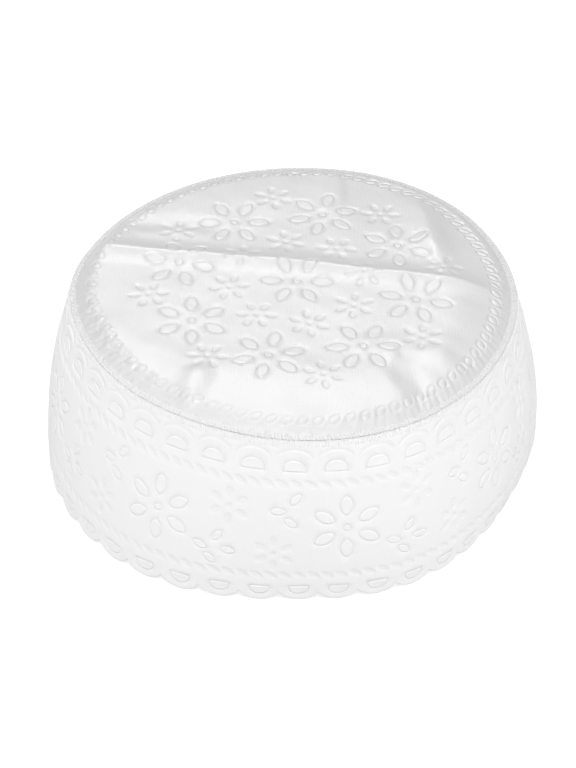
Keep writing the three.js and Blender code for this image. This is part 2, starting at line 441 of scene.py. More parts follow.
def small_fold_height(x, y):
    """Height of the small folds and dents that the solids have too."""
    total = np.zeros_like(x)
    for start, end, height, width in SMALL_FOLDS:
        distance, _ = distance_to_line(x / SEAM_RADIUS, y / SEAM_RADIUS, start, end)
        total += FOLD_HEIGHT * height * (1 - np.minimum(1, distance / width) ** 2) ** 2
    return total


def soft_ridge_height(x, y):
    """Height of the soft ridges, which slope differently to their two sides."""
    total = np.zeros_like(x)
    for start, end, height, left_slope, right_slope in SOFT_RIDGES:
        distance, left = distance_to_line(x, y, start, end)
        reach = np.minimum(1, distance / np.where(left > 0, left_slope, right_slope))
        total += height * (1 - reach**2) ** 2
    return total


def waver_height(x, y):
    """Unevenness of the crown cloth."""
    return sum(height * soft_noise(x, y, length, seed) for height, length, seed in CROWN_WAVER)


def front_share(degrees):
    """How smooth the margin lies: 1 in the middle of the front, fading to both sides."""
    away = (np.mod(degrees, 360) - SMOOTH_FRONT["middle"]) / SMOOTH_FRONT["width"]
    return np.exp(-(away**2))


def pucker_height(x, y, degrees, share):
    """Small radial gathers and crumples between the chain ring and the seam."""
    strength = np.full_like(degrees, PUCKER_LEAST)
    for middle, width, most in PUCKER_ZONES:
        away = np.abs(np.mod(degrees - middle + 180, 360) - 180)
        strength += most * np.exp(-((away / width) ** 2))
    angle = np.radians(degrees)
    zigzag = PUCKERS["slant"] * np.abs(share - PUCKERS["turn"])
    zigzag = zigzag + PUCKERS["sway"] * np.sin(PUCKERS["sways"] * angle + 1)
    wave = np.sin(PUCKERS["count"] * angle + zigzag)
    sway = BROAD_PUCKERS["sway"] * np.sin(BROAD_PUCKERS["sways"] * angle)
    wave = wave + BROAD_PUCKERS["share"] * np.sin(BROAD_PUCKERS["count"] * angle + sway)
    crumple = soft_noise(x, y, CRUMPLES["length"], CRUMPLES["seed"])
    start = np.clip((share - PUCKER_REACH["start"]) / PUCKER_REACH["rise"], 0, 1)
    end = np.clip((PUCKER_REACH["end"] - share) / PUCKER_REACH["fall"], 0, 1)
    return (PUCKERS["height"] * wave + CRUMPLES["height"] * crumple) * strength * (start * end)


def margin_dip(y, degrees, share):
    """How far the margin has dipped towards the seam, from 0 to 1."""
    backward = smooth_step(y / SEAM_RADIUS + MARGIN["turn"])
    start = MARGIN["front"] + (MARGIN["back"] - MARGIN["front"]) * backward
    start = start - MARGIN["ease"] * front_share(degrees)
    return smooth_step((share - start) / (MARGIN["seam"] - start))


def crown_point(x, y):
    """Upper side of the crown cloth, with its folds and gathers, drawn down flush at the seam."""
    degrees = np.degrees(np.arctan2(y, x))
    share = np.minimum(1, np.hypot(x, y) / band_radius(degrees, BAND_HEIGHT))
    flat = section_value("flat", degrees)
    roll = np.maximum(0, (share - flat) / (1 - flat))
    level = CROWN_RISE * (1 + (section_value("rise", degrees) - 1) * share**2)
    folds = crease_height(x, y) + small_fold_height(x, y) + soft_ridge_height(x, y)
    lifted = (level + folds + waver_height(x, y)) * (1 - smooth_step(roll))
    height = SEAM_GAP + CROWN_THICKNESS + lifted + pucker_height(x, y, degrees, share)
    height = height - MARGIN["drop"] * margin_dip(y, degrees, share)
    return np.stack([x, y, BAND_HEIGHT + height], axis=-1)


# Band surface


def band_point(degrees, height):
    """Outer side of the band cloth, a little uneven, and rolled in at its top edge."""
    angle = np.radians(degrees)
    share = height / BAND_HEIGHT
    waver = 0.0
    for count, phase, lean, size in BAND_WAVES:
        waver = waver + size * np.sin(count * angle + phase + lean * share)
    free = np.clip((BAND_HEIGHT - height) / BAND_WAVE_FADE, 0, 1)
    roll = np.clip((height - BAND_HEIGHT + BAND_EDGE_ROLL) / BAND_EDGE_ROLL, 0, 1)
    radius = band_radius(degrees, height) + waver * free - BAND_EDGE_INSET * roll**2
    return polar(degrees, radius, height)


# Embossing


def inside_any(points, outlines):
    """Which points lie inside any of the outlines."""
    hit = np.zeros(len(points), dtype=bool)
    for outline in outlines:
        low, high = outline.min(0), outline.max(0)
        near = np.where(((points >= low) & (points <= high)).all(axis=1) & ~hit)[0]
        if len(near) == 0:
            continue
        x, y = points[near, 0:1], points[near, 1:2]
        ax, ay = outline.T
        bx, by = np.roll(outline, -1, axis=0).T
        crosses = (ay > y) != (by > y)
        with np.errstate(divide="ignore", invalid="ignore"):
            at = ax + (y - ay) * (bx - ax) / (by - ay)
        hit[near] |= (crosses & (x < at)).sum(axis=1) % 2 == 1
    return hit


def leaf(length, width, points):
    """Outline of a petal along X, as a function of how far outside it lies: an ellipse with pointed ends."""

    def outline(offset):
        half_length, half_width = length / 2 + LEAF_TIP * offset, width / 2 + offset
        t = np.arange(points) * 2 * math.pi / points
        x = np.cos(t)
        y = np.sign(np.sin(t)) * np.abs(np.sin(t)) ** LEAF_SHARPNESS
        return np.stack([half_length * x, half_width * y], axis=-1)

    return outline


def ring(radius, points):
    """Outline of a round eye, as a function of how far outside it lies."""

    def outline(offset):
        t = np.arange(points) * 2 * math.pi / points
        return (radius + offset) * np.stack([np.cos(t), np.sin(t)], axis=-1)

    return outline


def half_moon(width, height, up, points):
    """Outline of a half-moon eyelet, its flat side on y = 0 and its arc up or down."""

    def outline(offset):
        half = width / 2 + offset
        t = np.linspace(0, math.pi, points)
        x = half * np.cos(t)
        y = (height + 2 * offset) * np.sin(t) ** MOON_FULLNESS - offset
        flat_side = np.linspace(-half, half, points // 2)[1:-1]
        flat = np.stack([flat_side, np.full_like(flat_side, -offset)], axis=-1)
        shape = np.concatenate([np.stack([x, y], axis=-1), flat])
        return shape if up else (shape * (1, -1))[::-1]

    return outline


FLOWERS = {
    "large": {"petal": LARGE_PETAL, "petal_rings": LARGE_RINGS, "eye": LARGE_EYE, "eye_rings": SMALL_RINGS},
    "small": {"petal": SMALL_PETAL, "petal_rings": DENT, "eye": SMALL_EYE, "eye_rings": DENT},
}


class Relief:
    """Points, heights and edges of an embossed cloth, in the flat of its pattern."""

    def __init__(self, press):
        self.press = press
        self.points, self.heights, self.lines, self.edges, self.outlines = [], [], [], [], []

    def line(self, points, heights, line=0.0, closed=True):
        """Adds a line of points, with its edges and painted groove shade, and returns the points' numbers.
        """
        first = len(self.points)
        count = len(points)
        self.points.extend(map(tuple, points))
        self.heights.extend(np.broadcast_to(heights, count))
        # line is how much painted groove shade these points get
        self.lines.extend([line] * count)
        self.edges.extend((first + k, first + k + 1) for k in range(count - 1))
        if closed:
            self.edges.append((first + count - 1, first))
        return list(range(first, first + count))

    def shape(self, outline, rings, place, turn, stretch=1.0):
        """Adds one embossed shape. outline gives its edge for an offset, and rings go inwards."""
        cos, sin = math.cos(math.radians(turn)), math.sin(math.radians(turn))
        for number, (offset, height, line) in enumerate(rings):
            x, y = outline(offset).T
            across = place[0] + stretch * (x * cos - y * sin)
            points = np.stack([across, place[1] + x * sin + y * cos], axis=-1)
            self.line(points, height * self.press["depth"], line * self.press["line"])
            if number == 0:
                self.outlines.append(points)

    def flower(self, kind, place, turn, radius, stretch=1.0):
        """Adds six petals round an eye; turn is the way one petal points."""
        parts = FLOWERS[kind]
        for number in range(PETALS):
            angle = turn + 360 / PETALS * number
            x = place[0] + stretch * radius * math.cos(math.radians(angle))
            y = place[1] + radius * math.sin(math.radians(angle))
            self.shape(leaf(*parts["petal"]), parts["petal_rings"], (x, y), angle, stretch)
        self.shape(ring(*parts["eye"]), parts["eye_rings"], place, 0.0, stretch)

    def needle_holes(self, places, seed):
        """Adds small holes that threads go through, darkened with painted shade, some of them closed up
        again.
        """
        rng = np.random.default_rng(seed)
        for place in places:
            middle = place + rng.uniform(-HOLE_SHIFT, HOLE_SHIFT, 2)
            wide = rng.uniform(0, 1) ** HOLE_CLOSING
            # The inner ring of each hole gets painted shade
            for radius, height, line in NEEDLE_HOLE:
                self.line(ring(radius, HOLE_POINTS)(0.0) + middle, height * wide, line * wide)

    def ground(self, points, clearance):
        """Adds free points where they are clear of what has been embossed so far."""
        tree = KDTree(len(self.points))
        for number, (x, y) in enumerate(self.points):
            tree.insert((x, y, 0), number)
        tree.balance()
        points = points[~inside_any(points, self.outlines)]
        kept = [p for p in points if tree.find((p[0], p[1], 0))[2] > clearance]
        self.points.extend(map(tuple, kept))
        self.heights.extend([0.0] * len(kept))
        self.lines.extend([0.0] * len(kept))

    def triangulate(self, inside):
        """Flat points, heights, painted groove shade and triangles, and where each given point went."""
        vertices = [Vector(p) for p in self.points]
        found = delaunay_2d_cdt(vertices, self.edges, [], 0, SAME_PLACE, True)
        flat = np.array([tuple(v) for v in found[0]])
        triangles = np.array(found[2], dtype=int)
        heights, lines = np.zeros(len(flat)), np.zeros(len(flat))
        place_of = {}
        for number, origins in enumerate(found[3]):
            if origins:
                heights[number] = self.heights[origins[0]]
                lines[number] = self.lines[origins[0]]
            for origin in origins:
                place_of[origin] = number
        middles = flat[triangles].mean(axis=1)
        return flat, heights, lines, triangles[inside(middles[:, 0], middles[:, 1])], place_of


# Meshes


def hex_points(low, high, pitch, seed):
    """Evenly spread points with a little unevenness, so that no row shows."""
    rng = np.random.default_rng(seed)
    rows = np.arange(low[1], high[1], pitch * math.sqrt(0.75))
    points = []
    for number, y in enumerate(rows):
        x = np.arange(low[0] + (number % 2) * pitch / 2, high[0], pitch)
        points.append(np.stack([x, np.full_like(x, y)], axis=-1))
    points = np.concatenate(points)
    return points + rng.uniform(-GROUND_SHIFT * pitch, GROUND_SHIFT * pitch, points.shape)


def row_numbers(first, rows):
    """Point numbers of rows that are added one after another, from the number first on."""
    width = len(rows[0])
    return [list(range(first + k * width, first + (k + 1) * width)) for k in range(len(rows))]


def strip_faces(rings, closed):
    """Four-sided faces between each row of point numbers and the next."""
    count = len(rings[0])
    faces = []
    for a, b in zip(rings[:-1], rings[1:]):
        for k in range(count if closed else count - 1):
            after = (k + 1) % count
            faces.append((a[k], b[k], b[after], a[after]))
    return faces


def add_object(name, data):
    """New object in the scene."""
    piece = bpy.data.objects.new(name, data)
    bpy.context.scene.collection.objects.link(piece)
    return piece


def make_object(name, points, faces, material, cloth=None):
    """Smooth-shaded mesh object from points in millimetres in the sections' frame. cloth holds each
    point's place in the flat pattern, and how much painted groove shade the first points get."""
    moved = (points + np.array([OFFSET[0], OFFSET[1], 0.0])) * MM
    mesh = bpy.data.meshes.new(name)
    mesh.from_pydata(moved.tolist(), [], [list(map(int, face)) for face in faces])
    mesh.update()
    if cloth is not None:
        flat, lines = cloth
        corners = np.zeros(len(mesh.loops), dtype=int)
        mesh.loops.foreach_get("vertex_index", corners)
        layer = mesh.uv_layers.new(name="cloth")
        layer.data.foreach_set("uv", (flat[corners] * CM_PER_MM).astype(np.float32).ravel())
        # Painted groove shade, kept for each point for the material
        lines = np.pad(lines, (0, len(points) - len(lines)))
        attribute = mesh.attributes.new("groove_shade", "FLOAT", "POINT")
        attribute.data.foreach_set("value", lines.astype(np.float32))
    body = bmesh.new()
    body.from_mesh(mesh)
    bmesh.ops.remove_doubles(body, verts=body.verts, dist=WELD_METRES)
    bmesh.ops.recalc_face_normals(body, faces=body.faces)
    body.to_mesh(mesh)
    body.free()
    mesh.shade_smooth()
    mesh.materials.append(material)
    piece = add_object(name, mesh)
    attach(piece, "root")
    return piece


# Band


def cut_degrees(height):
    """Angle of the join at the back, which leans a little."""
    return HEM_CUT + (TOP_CUT - HEM_CUT) * height / BAND_HEIGHT


def flat_x(degrees):
    """Place along the band's strip, laid flat."""
    return np.radians(degrees) * BAND_MIDDLE_RADIUS


def to_degrees(x):
    """Angle of a place along the strip."""
    return np.degrees(x / BAND_MIDDLE_RADIUS)


def hem_edge(degrees, inset=0.0):
    """Height of the scalloped edge, or of a line that runs inset inside it."""
    pitch = 2 * math.pi * HEM_RADIUS / SCALLOPS
    radius = (pitch**2 / 4 + SCALLOP_DEPTH**2) / (2 * SCALLOP_DEPTH)
    place = np.mod((degrees - FRONT - SCALLOP_TURN) / PITCH_DEG + 0.5, 1.0) - 0.5
    return radius - np.sqrt(np.maximum(0, (radius - inset) ** 2 - (place * pitch) ** 2))


def band_stretch(height):
    """How much wider than real a shape is drawn in the flat, so that it comes out right."""
    return BAND_MIDDLE_RADIUS / float(np.mean(band_radius(np.arange(0, 360, 10.0), height)))


def turns_between(start, pitch, count, low):
    """Angles of a row of motifs, each brought into the one turn that starts at low."""
    return [low + (start + pitch * k - low) % 360 for k in range(count)]


def draw_band_edges(relief, columns):
    """Hem with its raised rim, top edge, and the join's groove. Returns both edges' point numbers."""
    hem = []
    for inset, height in EDGE_RIM:
        degrees = HEM_CUT + columns
        rise = hem_edge(degrees, inset)
        lean = cut_degrees(rise) - HEM_CUT
        numbers = relief.line(np.stack([flat_x(degrees + lean), rise], axis=-1), height, closed=False)
        hem = hem or numbers
    top_height = np.full(len(columns), BAND_HEIGHT)
    top = relief.line(np.stack([flat_x(TOP_CUT + columns), top_height], axis=-1), 0.0, closed=False)
    heights = np.linspace(hem_edge(HEM_CUT, EDGE_RIM[-1][0]), BAND_HEIGHT, JOIN_POINTS)[1:-1]
    for inset, depth in JOIN_GROOVE:
        for side in (0, 1):
            x = flat_x(cut_degrees(heights) + 360 * side) + inset * (1 - 2 * side)
            relief.line(np.stack([x, heights], axis=-1), depth, closed=False)
    return hem, top


def draw_eyelet_rows(relief):
    """Half-moon eyelets in the scallops of the hem and along the top, with the arcs over these."""
    stretch = band_stretch(HEM_ROW)
    for degrees in turns_between(FRONT + SCALLOP_TURN, PITCH_DEG, SCALLOPS, HEM_CUT):
        relief.shape(half_moon(*HEM_EYELET), SMALL_RINGS, (flat_x(degrees), HEM_EYELET_TOP), 0, stretch)
    stretch = band_stretch(TOP_ROW)
    for degrees in turns_between(FRONT, TOP_PITCH_DEG, TOP_EYELETS, TOP_CUT):
        relief.shape(half_moon(*TOP_EYELET), SMALL_RINGS, (flat_x(degrees), TOP_EYELET_FLOOR), 0, stretch)
        draw_arc(relief, degrees)


def draw_arc(relief, degrees):
    """Scalloped outline over one top eyelet, stepped like an edge that lies on the cloth below."""
    half = TOP_PITCH_DEG / 2 - TOP_ARC["gap"]
    turn = np.linspace(-half, half, TOP_ARC["points"])
    bow = TOP_ARC["bow"]
    drop = TOP_ARC["depth"] * (1 - np.sqrt(1 - (bow * turn / half) ** 2)) / (1 - math.sqrt(1 - bow**2))
    fade = np.sqrt(np.maximum(0, 1 - (turn / half) ** TOP_ARC["fade"]))
    for up, height in TOP_ARC_RINGS:
        inward = 1 + (up / TOP_ARC["height"] if up > 0 else 0)
        narrow = 1 + min(0, up) * TOP_ARC["narrow"]
        across = flat_x(degrees + turn * narrow * inward)
        points = np.stack([across, TOP_ARC["height"] - drop + up], axis=-1)
        relief.line(points, height * fade, closed=False)


def draw_ropes(relief):
    """Two rows of slanted dents. The ovals next to the join are left out."""
    for height, ovals in ROPES:
        cut, stretch = cut_degrees(height), band_stretch(height)
        for k in range(1, ovals - 1):
            place = (flat_x(cut + (k + 0.5) * (360 / ovals)), height)
            relief.shape(leaf(*ROPE_OVAL), DENT, place, ROPE_SLANT, stretch)


def draw_band_holes(relief):
    """Needle holes along the band's top, all but those next to the join."""
    count, height = BAND_HOLES["count"], BAND_HOLES["height"]
    turns = cut_degrees(height) + (np.arange(1, count - 1) + 0.5) * 360 / count
    holes = np.stack([flat_x(turns), np.full_like(turns, height)], axis=-1)
    relief.needle_holes(holes, BAND_HOLES["seed"])


def draw_band_motifs(relief):
    """Flowers and sprigs between the ropes, left out where the join at the back would cut them."""
    repeats = math.ceil(360 / MOTIF_TURN) + 1
    for repeat in range(-repeats, repeats):
        for kind, turn, height, room in MOTIFS:
            degrees = MOTIF_START + MOTIF_TURN * repeat + turn
            clear = math.degrees(room / BAND_MIDDLE_RADIUS)
            cut = cut_degrees(height)
            if cut + clear < degrees < cut + 360 - clear:
                draw_motif(relief, kind, degrees, height)


def draw_motif(relief, kind, degrees, height):
    """One flower or sprig of the band, a little lower where the row sags."""
    away = (degrees - MOTIF_SAG["middle"]) / MOTIF_SAG["width"]
    place = (flat_x(degrees), height - MOTIF_SAG["depth"] * math.exp(-(away**2)))
    stretch = band_stretch(height)
    if kind in FLOWERS:
        radius = BAND_PETAL_RADIUS if kind == "large" else SMALL_PETAL_RADIUS
        relief.flower(kind, place, 90.0, radius, stretch)
        return
    for x, y, turn in SPRIGS[kind]:
        at = (place[0] + x * stretch, place[1] + y)
        relief.shape(leaf(*SPRIG_LEAF), SMALL_RINGS, at, turn, stretch)


def draw_band_ground(relief):
    """Free points of the band, clear of its edges and of the join."""
    past, edge = BAND_GROUND_PAST, BAND_GROUND["edge"]
    low = (flat_x(HEM_CUT) - past["left"], past["low"])
    high = (flat_x(HEM_CUT + 360) + past["right"], BAND_HEIGHT - past["high"])
    points = hex_points(low, high, BAND_GROUND["pitch"], BAND_GROUND["seed"])
    x, height = points.T
    join = flat_x(cut_degrees(height)) + edge
    turn_length = 2 * math.pi * BAND_MIDDLE_RADIUS
    clear = (x > join) & (x < join + turn_length - 2 * edge)
    clear &= height > hem_edge(to_degrees(x), EDGE_RIM[-1][0]) + edge
    relief.ground(points[clear], BAND_GROUND["clearance"])


def inside_band(x, height):
    """Which places of the flat lie on the band's strip."""
    degrees = to_degrees(x)
    left, right = cut_degrees(height), cut_degrees(height) + 360
    inside = (degrees > left + OFF_JOIN) & (degrees < right - OFF_JOIN)
    return inside & (height > hem_edge(degrees)) & (height < BAND_HEIGHT - OFF_JOIN)


def band_inside(columns):
    """Rows of points round the hem's edge and up the plain inside to the top."""
    edge = hem_edge(HEM_CUT + columns)
    base = band_point(HEM_CUT + columns, edge)
    rows = []
    for share, lift in HEM_ROLL:
        inward = polar(HEM_CUT + columns, 1.0, 0.0) * BAND_THICKNESS * share
        rows.append(base - inward + (0, 0, lift))
    for level in INNER_HEIGHTS:
        rise = np.maximum(level, edge + INNER_EVENING * level)
        degrees = cut_degrees(rise) + columns
        rows.append(polar(degrees, band_radius(degrees, rise) - BAND_THICKNESS, rise))
    degrees = TOP_CUT + columns
    top_radius = band_radius(degrees, BAND_HEIGHT) - BAND_THICKNESS
    rows.append(polar(degrees, top_radius, BAND_HEIGHT - INNER_TOP_DROP))
    return rows


def embossed_band(material):
    """Closed wall: the embossed outside, the rolled hem and the plain inside."""
    columns = np.arange(HEM_COLUMNS + 1) * 360 / HEM_COLUMNS
    relief = Relief(BAND_PRESS)
    hem, top = draw_band_edges(relief, columns)
    draw_eyelet_rows(relief)
    draw_ropes(relief)
    draw_band_holes(relief)
    draw_band_motifs(relief)
    draw_band_ground(relief)
    flat, heights, lines, triangles, place_of = relief.triangulate(inside_band)

    degrees, height = to_degrees(flat[:, 0]), flat[:, 1]
    outside = band_point(degrees, height) + normal_of(band_point, degrees, height) * heights[:, None]
    rows = band_inside(columns)
    rings = [[place_of[number] for number in hem]]
    rings += row_numbers(len(outside), rows)
    rings += [[place_of[number] for number in top]]
    faces = list(triangles) + strip_faces(rings, closed=False)
    points = np.concatenate([outside] + rows)
    inside_flat = [np.stack([flat_x(columns), row[:, 2]], axis=-1) for row in rows]
    all_flat = np.concatenate([flat] + inside_flat)
    piece = make_object("embossed_band", points, faces, material, (all_flat, lines))
    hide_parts("side_band")
    return piece


# Crown


def draw_crown_rim(relief, around):
    """Rings of points along the crown's edge. Returns the outermost one's numbers."""
    rim = []
    for inset in RIM_INSETS:
        edge = polar(around, band_radius(around, BAND_HEIGHT) - inset, 0.0)[:, :2]
        numbers = relief.line(edge, 0.0)
        rim = rim or numbers
    return rim


def draw_rosette(relief):
    """Large flower in the middle, a ring of eight round it, and two rings of small flowers."""
    step = 360 / ROSETTE_FLOWERS
    relief.flower("large", (0.0, 0.0), 0.0, CROWN_PETAL_RADIUS)
    for radius, shift, kind in ROSETTE_RINGS:
        petal_radius = CROWN_PETAL_RADIUS if kind == "large" else SMALL_PETAL_RADIUS
        for number in range(ROSETTE_FLOWERS):
            turn = ROSETTE_TURN + (number + shift) * step
            place = (radius * math.cos(math.radians(turn)), radius * math.sin(math.radians(turn)))
            relief.flower(kind, place, turn, petal_radius)


def draw_chain(relief):
    """Ring of slanted ovals near the edge, fainter in the smooth middle of the front."""
    for number in range(CHAIN_OVALS):
        turn = 360 / CHAIN_OVALS * (number + 0.5)
        radius = CHAIN_RING * float(section_value("seam", turn))
        place = (radius * math.cos(math.radians(turn)), radius * math.sin(math.radians(turn)))
        weaker = 1 - CHAIN_FADE * float(front_share(turn))
        rings = [(offset, height * weaker, line * weaker) for offset, height, line in CHAIN_GROOVE]
        relief.shape(leaf(*CHAIN_OVAL), rings, place, turn + 90 + CHAIN_SLANT)


def draw_crown_holes(relief):
    """Needle holes beside the seam."""
    turns = np.arange(CROWN_HOLES["count"]) * 360 / CROWN_HOLES["count"]
    holes = polar(turns, band_radius(turns, BAND_HEIGHT) - CROWN_HOLES["inset"], 0.0)[:, :2]
    relief.needle_holes(holes, CROWN_HOLES["seed"])


def crease_points():
    """Rows of points along the crest of the main crease and beside it, so that it stays sharp."""
    middle = np.array(CREASE["middle"]) * SEAM_RADIUS
    points = []
    for end in crease_ends():
        length = np.linalg.norm(end - middle)
        along = (end - middle) / length
        side = np.array([-along[1], along[0]])
        for aside in CREASE_GROUND["asides"]:
            steps = np.arange(0.0, length * CREASE_GROUND["reach"], CREASE_GROUND["pitch"])
            points.append(middle + steps[:, None] * along + aside * side)
    return np.concatenate(points)


def draw_crown_ground(relief):
    """Free points of the crown: along the crease, close together in the margin, and all over."""
    relief.ground(crease_points(), CREASE_GROUND["clearance"])
    reach = SEAM_RADIUS * CROWN_GROUND_REACH
    low, high = (-reach, -reach), (reach, reach)
    points = hex_points(low, high, MARGIN_GROUND["pitch"], MARGIN_GROUND["seed"])
    share = np.hypot(*points.T) / seam_radius(*points.T)
    in_margin = (share > MARGIN_GROUND["from"]) & (share < MARGIN_GROUND["to"])
    relief.ground(points[in_margin], MARGIN_GROUND["clearance"])
    points = hex_points(low, high, CROWN_GROUND["pitch"], CROWN_GROUND["seed"])
    clear = np.hypot(*points.T) < seam_radius(*points.T) - CROWN_GROUND["edge"]
    relief.ground(points[clear], CROWN_GROUND["clearance"])


def inside_crown(x, y):
    """Which places of the flat lie on the crown."""
    return np.hypot(x, y) < seam_radius(x, y) + PAST_RIM


def crown_underside(around):
    """Rows of points from the rim inwards: the ledge on the band, the allowance and the underside."""
    inset = BAND_THICKNESS + SEAM_GAP
    rim_radius = band_radius(around, BAND_HEIGHT)
    low = BAND_HEIGHT - ALLOWANCE_DEPTH
    low_radius = band_radius(around, low)
    rows = [polar(around, rim_radius - inset, BAND_HEIGHT + LEDGE_RISE)]
    rows.append(polar(around, low_radius - inset, low))
    rows.append(polar(around, low_radius - inset - CROWN_THICKNESS, low))
    inner = polar(around, rim_radius - inset - CROWN_THICKNESS, 0.0)[:, :2]
    for share in UNDERSIDE_SHARES:
        rows.append(crown_point(*(inner * share).T) - (0, 0, CROWN_THICKNESS))
    return rows


def embossed_crown(material):
    """Closed cloth: the embossed top, the rolled edge, the seam allowance and the plain underside."""
    around = np.arange(RIM_POINTS) * 360 / RIM_POINTS
    relief = Relief(CROWN_PRESS)
    rim = draw_crown_rim(relief, around)
    draw_rosette(relief)
    draw_chain(relief)
    draw_crown_holes(relief)
    draw_crown_ground(relief)
    flat, heights, lines, triangles, place_of = relief.triangulate(inside_crown)

    x, y = flat.T
    top = crown_point(x, y) + normal_of(crown_point, x * RIM_PULL, y * RIM_PULL) * heights[:, None]
    rows = crown_underside(around)
    rings = [[place_of[number] for number in rim]]
    rings += row_numbers(len(top), rows)
    faces = list(triangles) + strip_faces(rings, closed=True)
    centre = len(top) + len(rows) * RIM_POINTS
    last = rings[-1]
    faces += [(last[k], centre, last[(k + 1) % RIM_POINTS]) for k in range(RIM_POINTS)]
    middle = crown_point(np.zeros(1), np.zeros(1)) - (0, 0, CROWN_THICKNESS)
    points = np.concatenate([top] + rows + [middle])
    all_flat = np.concatenate([flat] + [row[:, :2] for row in rows] + [middle[:, :2]])
    piece = make_object("embossed_crown", points, faces, material, (all_flat, lines))
    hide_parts("crown")
    return piece


# Seam threads


def threads_object(name, paths, radius, material):
    """One mesh of many short threads, each a closed tube along its row of points."""
    count, steps, _ = paths.shape
    along = unit(np.gradient(paths, axis=1))
    outward = unit(paths * (1, 1, 0) + (0, 0, OUTWARD_RISE))
    side = unit(np.cross(along, outward))
    up = np.cross(side, along)
    taper = np.ones(steps)
    taper[0] = taper[-1] = THREAD_END
    angles = np.arange(THREAD_SIDES) * 2 * math.pi / THREAD_SIDES
    spread = side[:, :, None] * np.cos(angles)[:, None] + up[:, :, None] * np.sin(angles)[:, None]
    points = (paths[:, :, None] + spread * radius * taper[:, None, None]).reshape(-1, 3)
    faces = []
    for thread in range(count):
        base = thread * steps * THREAD_SIDES
        for step in range(steps - 1):
            low, high = base + step * THREAD_SIDES, base + (step + 1) * THREAD_SIDES
            for k in range(THREAD_SIDES):
                after = (k + 1) % THREAD_SIDES
                faces.append((low + k, low + after, high + after, high + k))
        end = base + (steps - 1) * THREAD_SIDES
        faces.append(tuple(base + k for k in reversed(range(THREAD_SIDES))))
        faces.append(tuple(end + k for k in range(THREAD_SIDES)))
    return make_object(name, points, faces, material)


def margin_point(degrees, reach, lift):
    """Point near the seam: reach is millimetres inwards on the crown, or down the band if negative."""
    rim = band_radius(degrees, BAND_HEIGHT)
    x, y = np.moveaxis(polar(degrees, rim - np.maximum(reach, SEAM_INSET), 0.0)[..., :2], -1, 0)
    on_crown = crown_point(x, y) + normal_of(crown_point, x, y) * lift
    height = np.minimum(BAND_HEIGHT + np.minimum(reach, 0), BAND_HEIGHT - SEAM_DROP)
    on_band = band_point(degrees, height) + normal_of(band_point, degrees, height) * lift
    return np.where(np.asarray(reach)[..., None] >= 0, on_crown, on_band)


def stitches_across(name, row, material, rng):
    """Threads across the seam: those of the crown run towards it, those of the band away from it."""
    count, near = row["count"], row["near"]
    places = np.arange(count) * (360 / count) + rng.uniform(-row["shift"], row["shift"], count)
    lengths = row["length"] + rng.uniform(-row["spread"], row["spread"], count)
    steps = np.linspace(0, 1, THREAD_STEPS)
    degrees = places[:, None] + steps * (360 / count) * row["lean"]
    far = 1 - steps if row["side"] > 0 else steps
    reach = row["side"] * (near + (lengths[:, None] - near) * far)
    lift = row["radius"] * (np.minimum(1, ARCH * np.sin(math.pi * steps)) - 1 + row["lift"])
    paths = margin_point(degrees, reach, lift[None, :, None])
    threads_object(name, paths, row["radius"], material)


def stitches_along(name, row, material):
    """Row of stitches along the seam."""
    steps = np.linspace(0, 1, THREAD_STEPS)
    pitch = 360 / row["count"]
    degrees = (np.arange(row["count"]) * pitch)[:, None] + steps * pitch * row["length"]
    lift = row["arch"] * np.sin(math.pi * steps) - row["sunk"]
    paths = margin_point(degrees, np.full_like(degrees, row["reach"]), lift[None, :, None])
    threads_object(name, paths, row["radius"], material)


# Materials


def grey(brightness):
    """Neutral colour of a brightness."""
    return (brightness, brightness, brightness, 1)


def feed(material, node, inputs):
    """Gives inputs of a node their values, or links them where an output is given."""
    for name, value in inputs.items():
        if isinstance(value, bpy.types.NodeSocket):
            material.node_tree.links.new(value, node.inputs[name])
        else:
            node.inputs[name].default_value = value


def add_node(material, kind, inputs, **settings):
    """New shader node with its settings and inputs."""
    node = material.node_tree.nodes.new("ShaderNode" + kind)
    for name, value in settings.items():
        setattr(node, name, value)
    feed(material, node, inputs)
    return node


def calculate(material, operation, *values):
    """Output of a sum, product or sine of values and other outputs."""
    return add_node(material, "Math", dict(enumerate(values)), operation=operation).outputs[0]


def noise(material, vector, **inputs):
    """Output of a noise at a vector."""
    return add_node(material, "TexNoise", {"Vector": vector, **inputs}).outputs["Fac"]


def plain_material(name, look):
    """Material of one brightness, roughness and gloss, and its shader."""
    material = bpy.data.materials.new(name)
    material.use_nodes = True
    shader = material.node_tree.nodes["Principled BSDF"]
    feed(material, shader, {"Base Color": grey(look["brightness"]), "Roughness": look["roughness"]})
    feed(material, shader, {"Specular IOR Level": look["gloss"], "IOR": look["index"]})
    return material, shader


def add_bump(material, shader, look, height):
    """Lets the surface rise with a height."""
    inputs = {"Strength": look["strength"], "Distance": look["relief"], "Height": height}
    feed(material, shader, {"Normal": add_node(material, "Bump", inputs).outputs["Normal"]})


def weave_height(material, pitch):
    """Threads both ways and longer slubs in them, from the cloth's flat coordinates in centimetres."""
    flat = add_node(material, "UVMap", {}, uv_map="cloth").outputs["UV"]
    split = add_node(material, "SeparateXYZ", {0: flat})
    heights = []
    for axis, stretch in (("X", (1.0, SLUB_LENGTH, 1.0)), ("Y", (SLUB_LENGTH, 1.0, 1.0))):
        turn = calculate(material, "MULTIPLY", split.outputs[axis], math.tau / pitch)
        wave = calculate(material, "SINE", turn)
        mapping = add_node(material, "Mapping", {"Scale": stretch, "Vector": flat})
        slub = noise(material, mapping.outputs["Vector"], Scale=1 / pitch, Detail=SLUB_DETAIL)
        heights.append(calculate(material, "MULTIPLY_ADD", slub, SLUB_SHARE, wave))
    return calculate(material, "ADD", *heights)


